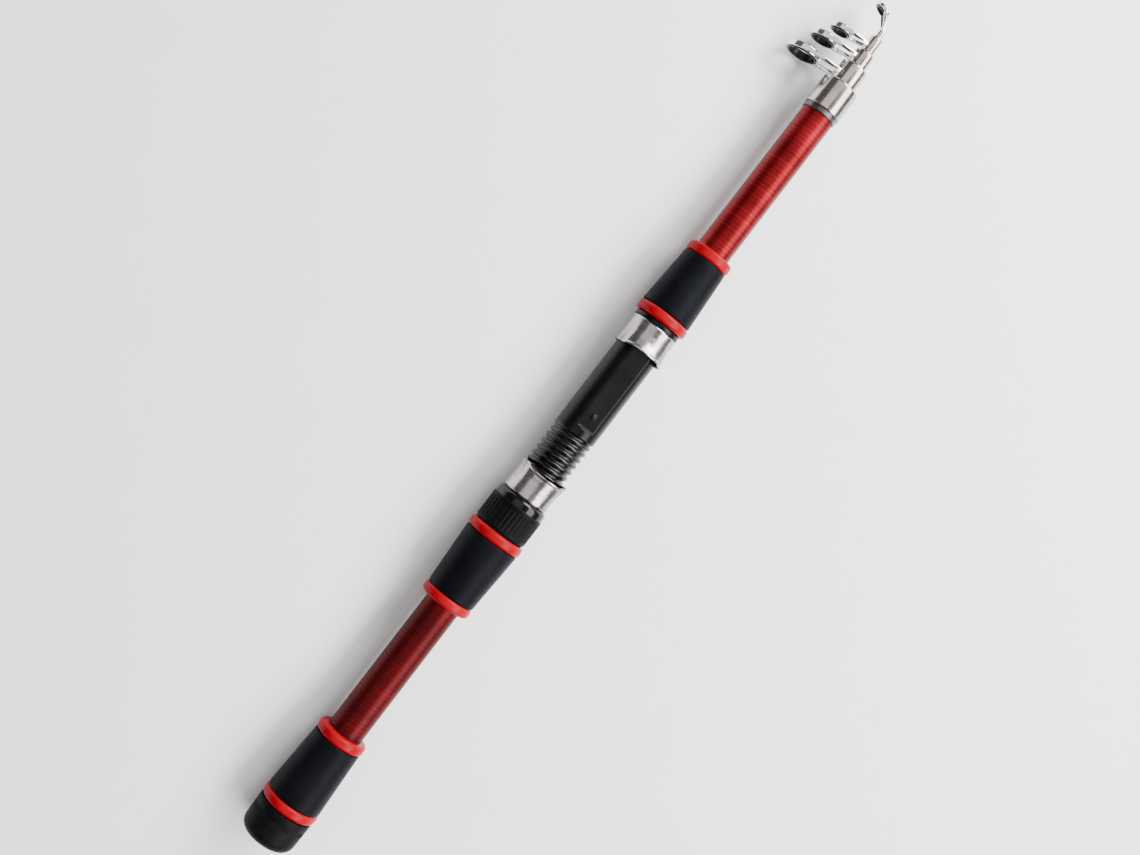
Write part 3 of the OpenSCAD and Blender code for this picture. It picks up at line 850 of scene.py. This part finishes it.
def makeHoodTail(plastic):  # runs inside the nut's front, its key in the thread's keyway
    size = hoodPiece
    first, last = span("sliding_hood_liner")
    hoodFirst = span("sliding_hood")[0]
    gap = size["glueGap"]
    inside = -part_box("sliding_hood")[0].z / mm - size["sheet"] - gap
    clipFirst, clipLast = span("hood_clip_ring")
    groove = boreOf("hood_clip_ring") - gap
    bore = reachOf("reel_seat_body", *span("reel_seat_body")) + size["runGap"]
    reach = reachOf("sliding_hood_liner", first, first + 1)
    tube = rounded([
        (first, bore, 0.1), (first, reach, 0.15), (clipFirst - gap, reach),
        (clipFirst - gap, groove), (clipLast + gap, groove), (clipLast + gap, reach),
        (hoodFirst - 0.06, reach), (hoodFirst - 0.06, inside), (hoodFirst + 0.6, inside),
        (hoodFirst + 0.6, bore)])
    keyIn = min(-v.co.z for v in nodes["sliding_hood_liner"].data.vertices
                if v.co.z < 0 and abs(v.co.y) < 2.5 * mm) / mm
    keyOut = bore + size["keyRoot"]
    path = [Vector((x, 0, -(keyIn + keyOut) / 2)) for x in np.linspace(first, last - 1, 6)]
    tail = turned("slidingHoodTail", tube, handleSegments)
    key = makePiece("slidingHoodKey", *barShell(
        path, Vector((0, 1, 0)), keyOut - keyIn, size["keyWidth"], size["keyEdge"]))
    for piece in (tail, key):
        finished(piece, plastic, "hood_carriage", "seat_plastic")


nutPiece = {
    "flutes": 36,
    "fluteDepth": 0.25,
    "fluteFrom": 0.35,  # of the wave that makes a flute: flat below
    "fluteTo": 0.95,  # and at full depth above
    "noseLength": 4.7,
    "noseStep": 0.4,
    "noseEdge": 2.4,
    "runGap": 0.08,
    "endGap": 0.2,
}


def noseStart():
    return span("lock_nut")[1] - nutPiece["noseLength"]


def makeNut(material):
    size = nutPiece
    first, last = span("lock_nut")
    reach = reachOf("lock_nut", first, last)
    bore = boreOf("lock_nut")
    shoulder = noseStart()
    nose = reach - size["noseStep"]
    tailFirst = span("sliding_hood_liner")[0] - size["endGap"]
    tailBore = reachOf("sliding_hood_liner", tailFirst, tailFirst + 1) + size["runGap"]
    clipFirst, clipLast = span("hood_clip_ring")
    clipBore = reachOf("hood_clip_ring", clipFirst, clipLast) + size["runGap"]
    grooveFirst, grooveLast = clipFirst - size["runGap"], clipLast + size["runGap"]
    rows = [*np.linspace(first + 1.4, first + 2.6, 8), *np.linspace(first + 3, shoulder - 2.2, 6),
            *np.linspace(shoulder - 1.9, shoulder - 0.9, 8)]
    edge = size["noseEdge"]
    arc = [(last - edge + edge * math.sin(a), nose - edge + edge * math.cos(a))
           for a in np.linspace(0, math.pi / 2, 12)]
    outline = rounded([
        (first, bore), (first, reach - 0.5, 0.8), (first + 1.2, reach, 0.6),
        *[(x, reach) for x in rows],
        (shoulder, reach, 0.35), (shoulder + 0.3, nose, 0.1),
        *[(x, r) for x, r in arc if r > tailBore + 0.25], (last - 0.2, tailBore),
        (grooveLast, tailBore), (grooveLast, clipBore), (grooveFirst, clipBore),
        (grooveFirst, tailBore), (tailFirst, tailBore), (tailFirst, bore)], steps=6)

    def fluted(x, r, angle, row):
        if abs(r - reach) > 0.02 or not first + 1.3 < x < shoulder - 0.8:
            return r
        ends = smoothStep(first + 1.4, first + 2.6, x)
        ends *= 1 - smoothStep(shoulder - 1.9, shoulder - 0.9, x)
        wave = 0.5 + 0.5 * math.cos(size["flutes"] * angle)
        return r - size["fluteDepth"] * ends * smoothStep(size["fluteFrom"], size["fluteTo"], wave)

    nut = turned("lockNut", outline, size["flutes"] * 12, fluted, sharp=40)
    finished(nut, material, "nut", "nut_plastic", "lock_nut")


def makeSeatEnd(plastic):
    first, last = span("seat_end_ring")
    reach, bore = reachOf("seat_end_ring", first, last), boreOf("seat_end_ring")
    outline = rounded([(first, bore), (first, reach, 0.6), (last, reach, 0.9), (last, bore)])
    ring = turned("seatEndRing", outline, handleSegments)
    finished(ring, plastic, "butt_section", "seat_plastic", "seat_end_ring")


collarPieces = {
    "bodies": {"butt_collar": "butt_section", "section_2_collar": "section_2",
               "section_3_collar": "section_3", "section_4_collar": "section_4"},
    "taper": 0.025,  # share of the radius lost at the tip end
    "stop": 0.9,  # length of the closed end
    "edgeMost": 1.1,  # rounding of the tip end
    "edgeShare": 0.14,  # of the radius
    "edgeLeast": 0.25,
    "strand": 0.3,  # thickness of the winding's thread
    "strandSink": 0.06,  # of the winding's grooves
}


def makeCollars(nickel, winding):
    size = collarPieces
    for node, body in size["bodies"].items():
        first, last = span(node)
        reach = reachOf(node, first, first + 1)
        mouth = boreOf(node)
        inside = min(math.hypot(v.co.y, v.co.z) for v in nodes[node].data.vertices
                     if v.co.x < (first + 0.2) * mm) / mm
        taper = size["taper"] * reach
        stopX = last - size["stop"]
        edge = min(size["edgeMost"], size["edgeShare"] * reach + size["edgeLeast"])
        outline = rounded([
            (first, inside), (first, reach, 0.25), ((first + last) / 2, reach - taper / 2),
            (last, reach - taper, edge), (last, mouth, 0.15),
            (stopX, mouth), (stopX, inside)], steps=7)
        words = node.split("_")
        name = words[0] + "".join(word.capitalize() for word in words[1:])
        collar = turned(name, outline, 128)
        finished(collar, nickel, body, "collar_nickel", node)
    first, last = span("collar_band")
    reach, bore = reachOf("collar_band", first, last), boreOf("collar_band")
    turns = int((last - first) / size["strand"])
    step = (last - first) / turns
    beads = []
    for k in range(turns):
        start = first + step * k
        low = reach - size["strandSink"]
        beads += [(start + 0.15 * step, low), (start + 0.5 * step, reach),
                  (start + 0.85 * step, low)]
    outline = [(first, bore), (first, reach - 0.2), *beads, (last, reach - 0.2), (last, bore)]
    band = turned("collarBand", outline, handleSegments, sharp=60)
    finished(band, winding, "butt_section", "black_band", "collar_band")
    print("collars made")


guidePiece = {
    "rimWall": 0.8,
    "rimEdge": 0.7,
    "lean": 6,  # towards the butt, degrees
    "legThick": 1.0,
    "legHigh": 1.9,
    "legEdge": 0.45,
    "legRoot": (0.62, 0.72),  # out and sideways, share of the collar's radius
    "legBend": (0.42, 0.86),  # share of the way to the ring, and of the rim's radius
    "legEnd": 0.12,  # before the ring's centre, share of the rim's radius
    "footWrap": 62,  # half the foot's wrap round the collar, degrees
    "footThick": 0.3,
    "footHigh": 2.4,
    "beadEdge": 0.62,
}


def ringShell(centre, axis, outward, line, segments=96):
    # revolution of (height, radius) points round an axis through centre
    side = axis.cross(outward)
    points, faces = [], []
    for h, r in line:
        for s in range(segments):
            a = tau * s / segments
            points.append(centre + axis * h + (outward * math.cos(a) + side * math.sin(a)) * r)
    for k in range(len(line)):
        m = (k + 1) % len(line)
        for s in range(segments):
            t = (s + 1) % segments
            faces.append([k * segments + s, k * segments + t, m * segments + t, m * segments + s])
    return points, faces


def barShell(path, across, width, height, edge):
    # rounded flat bar along a path; across is the bar's wide direction
    section = rounded([(-width / 2, -height / 2, edge), (width / 2, -height / 2, edge),
                       (width / 2, height / 2, edge), (-width / 2, height / 2, edge)], steps=3)
    points, faces = [], []
    for k, here in enumerate(path):
        ahead = (path[min(k + 1, len(path) - 1)] - path[max(k - 1, 0)]).normalized()
        thin = ahead.cross(across).normalized()
        for u, v in section:
            points.append(here + thin * u + across * v)
    n = len(section)
    for k in range(len(path) - 1):
        for s in range(n):
            t = (s + 1) % n
            faces.append([k * n + s, k * n + t, (k + 1) * n + t, (k + 1) * n + s])
    faces.append(list(range(n))[::-1])
    faces.append([(len(path) - 1) * n + s for s in range(n)])
    return points, faces


def curved(start, control, end, steps=12):  # a bend from start to end
    return [start * (1 - t) ** 2 + control * 2 * t * (1 - t) + end * t * t
            for t in np.linspace(0, 1, steps)]


def fused(name, shells):  # joins closed shells into one skin
    made = []
    for k, (points, faces) in enumerate(shells):
        made.append(makePiece(f"{name}{k}", points, faces))
    base = made[0]
    for other in made[1:]:
        join = base.modifiers.new("join", "BOOLEAN")
        join.operation, join.solver, join.object = "UNION", "EXACT", other
        skin = bpy.data.meshes.new_from_object(
            base.evaluated_get(bpy.context.evaluated_depsgraph_get()))
        base.modifiers.clear()
        base.data = skin
    for other in made[1:]:
        bpy.data.objects.remove(other)
    base.name = name
    base.data.name = name
    base.data.shade_smooth()
    base.data.set_sharp_from_angle(angle=math.radians(34))
    return base


def ringSize(node, centre, axis):  # outer radius, bore and height of a ring node
    offsets = [v.co / mm - centre for v in nodes[node].data.vertices]
    radii = [(o - axis * o.dot(axis)).length for o in offsets]
    return max(radii), min(radii), 2 * max(o.dot(axis) for o in offsets)


def rimHeight(node, centre, axis, outer):  # height of a rim with this outer radius
    offsets = [v.co / mm - centre for v in nodes[node].data.vertices]
    return 2 * max(o.dot(axis) for o in offsets
                   if abs((o - axis * o.dot(axis)).length - outer) < 0.03)


def makeGuide(number, body, steel, ceramic):
    size = guidePiece
    frameNode, ringNode = f"section_{number}_guide_frame", f"section_{number}_guide_ring"
    centre = middleOf(ringNode)
    outward = Vector((0, centre.y, centre.z)).normalized()
    lean = math.radians(size["lean"])
    axis = along * math.cos(lean) + outward * math.sin(lean)
    plane = outward * math.cos(lean) - along * math.sin(lean)
    side = axis.cross(plane)
    reach, hole, ringHigh = ringSize(ringNode, centre, axis)
    outer = reach + size["rimWall"]
    half = rimHeight(frameNode, centre, axis, outer) / 2
    collarReach = reachOf(f"section_{number}_collar", *span(f"section_{number}_collar"))
    base = centre - plane * (math.hypot(centre.y, centre.z) / math.cos(lean))

    shells = [ringShell(centre, axis, plane, rounded([
        (-half, reach - 0.02), (-half, outer, size["rimEdge"]), (half, outer, size["rimEdge"]),
        (half, reach - 0.02)], steps=4))]
    for s in (-1, 1):
        rootOut, rootAside = size["legRoot"]
        bendOut, bendAside = size["legBend"]
        start = base + plane * collarReach * rootOut + side * s * collarReach * rootAside
        end = centre - plane * outer * size["legEnd"]
        end += side * s * (outer - size["legThick"] * 0.55)
        control = base.lerp(centre, bendOut) + side * s * (outer * bendAside)
        path = curved(start, control, end)
        shells.append(barShell(path, axis, size["legThick"], size["legHigh"], size["legEdge"]))
    wrap = math.radians(size["footWrap"])  # the foot is brazed round the collar
    footAt = base - along * collarReach * math.sin(lean)
    across = along.cross(outward)
    footPath = [footAt + (outward * math.cos(a) + across * math.sin(a))
                * (collarReach + size["footThick"] / 2) for a in np.linspace(-wrap, wrap, 25)]
    shells.append(barShell(footPath, along, size["footThick"], size["footHigh"], 0.1))
    guide = fused(f"guideFrame{number}", shells)
    finished(guide, steel, body, "guide_steel", frameNode)

    points, faces = ringShell(centre, axis, plane, beadLine(reach, hole, ringHigh))
    bead = makePiece(f"guideRing{number}", points, faces)
    finished(bead, ceramic, body, "guide_ceramic", ringNode)


def beadLine(outer, hole, high):  # rounded section of a ceramic ring
    edge = min(guidePiece["beadEdge"], (outer - hole) * 0.49)
    half = high / 2
    return rounded([(-half, outer - 0.02, edge * 0.6), (half, outer - 0.02, edge * 0.6),
                    (half, hole, edge), (-half, hole, edge)], steps=6)


tipPiece = {
    "lean": 20,  # degrees
    "legThick": 0.95,
    "legHigh": 1.5,
    "legEdge": 0.28,
    "legRoot": 1.2,  # before the tube's end
    "legBow": 0.9,
    "rimShare": 0.33,  # half the rim's height, share of the ceramic's
    "tubeEdge": 0.3,
    "tubeEnd": 0.96,  # closed end over the blank
}


def makeTipGuide(steel, ceramic):
    size = tipPiece
    centre = middleOf("tip_guide_ring")
    outward = Vector((0, centre.y, centre.z)).normalized()
    lean = math.radians(size["lean"])
    axis = (along * math.cos(lean) - outward * math.sin(lean)).normalized()
    plane = (outward * math.cos(lean) + along * math.sin(lean)).normalized()
    side = axis.cross(plane)
    reach, hole, high = ringSize("tip_guide_ring", centre, axis)
    outer = reach + guidePiece["rimWall"]
    half = high * size["rimShare"]
    shells = [ringShell(centre, axis, plane, rounded([
        (-half, reach - 0.02), (-half, outer, 0.3), (half, outer, 0.3), (half, reach - 0.02)],
        steps=4), 72)]
    tubeFirst, tubeLast = span("tip_tube")
    tubeReach = reachOf("tip_tube", tubeFirst, tubeLast)
    for s in (-1, 1):
        start = Vector((tubeLast - size["legRoot"], 0, 0)) + side * s * (tubeReach - 0.25)
        end = centre - plane * outer * 0.25 + side * s * (outer - 0.45)
        control = start.lerp(end, 0.45) + side * s * size["legBow"] - outward * 0.3
        path = curved(start, control, end)
        shells.append(barShell(path, plane.cross(side).normalized(), size["legThick"],
                               size["legHigh"], size["legEdge"]))
    tipFrame = fused("tipGuideFrame", shells)
    finished(tipFrame, steel, "tip_section", "guide_steel", "tip_guide_frame")
    points, faces = ringShell(centre, axis, plane, beadLine(reach, hole, high), 72)
    bead = makePiece("tipGuideRing", points, faces)
    finished(bead, ceramic, "tip_section", "guide_ceramic", "tip_guide_ring")
    outline = rounded([(tubeFirst, tubeReach * 0.5), (tubeFirst, tubeReach, 0.2),
                       (tubeLast, tubeReach, size["tubeEdge"]), (tubeLast, 0)], steps=5)
    recess = tubeLast - size["tubeEnd"]
    tube = turned("tipTube", [(recess, 0), (recess, tubeReach * 0.5), *outline],
                  72, closed=False)
    finished(tube, steel, "tip_section", "guide_steel", "tip_tube")


foam = foamFinish()
trimRed = trimFinish()
blankRed = blankFinish()
seatBlack = seatFinish()
metal = {name: metalFinish(name, **look) for name, look in metals.items()}
ceramic = ceramicFinish()
print("finishes made")

makeCap(rubberFinish(), metal["insertMetal"], metal["ferruleMetal"], cushionFinish())
makeGrips(foam, trimRed)
makeButtBlank(blankRed)
makeSeatBody(seatBlack)
makeHood("slidingHood", "sliding_hood", "sliding_hood_liner", "hood_carriage", False,
         metal["hoodSteel"], seatBlack)
makeHood("fixedHood", "fixed_hood", "fixed_hood_liner", "butt_section", True,
         metal["hoodSteel"], seatBlack)
makeHoodTail(seatBlack)
makeNut(nutFinish())
makeSeatEnd(seatBlack)
print("reel seat made")
makeCollars(metal["collarNickel"], windingFinish())
for number, body in ((2, "section_2"), (3, "section_3"), (4, "section_4")):
    makeGuide(number, body, metal["guideSteel"], ceramic)
makeTipGuide(metal["guideSteel"], ceramic)
print("line guides made")
painted("hood_clip_ring", metal["springWire"])
for node in ("section_2_blank", "section_3_blank", "section_4_blank", "tip_blank"):
    painted(node, blankRed)
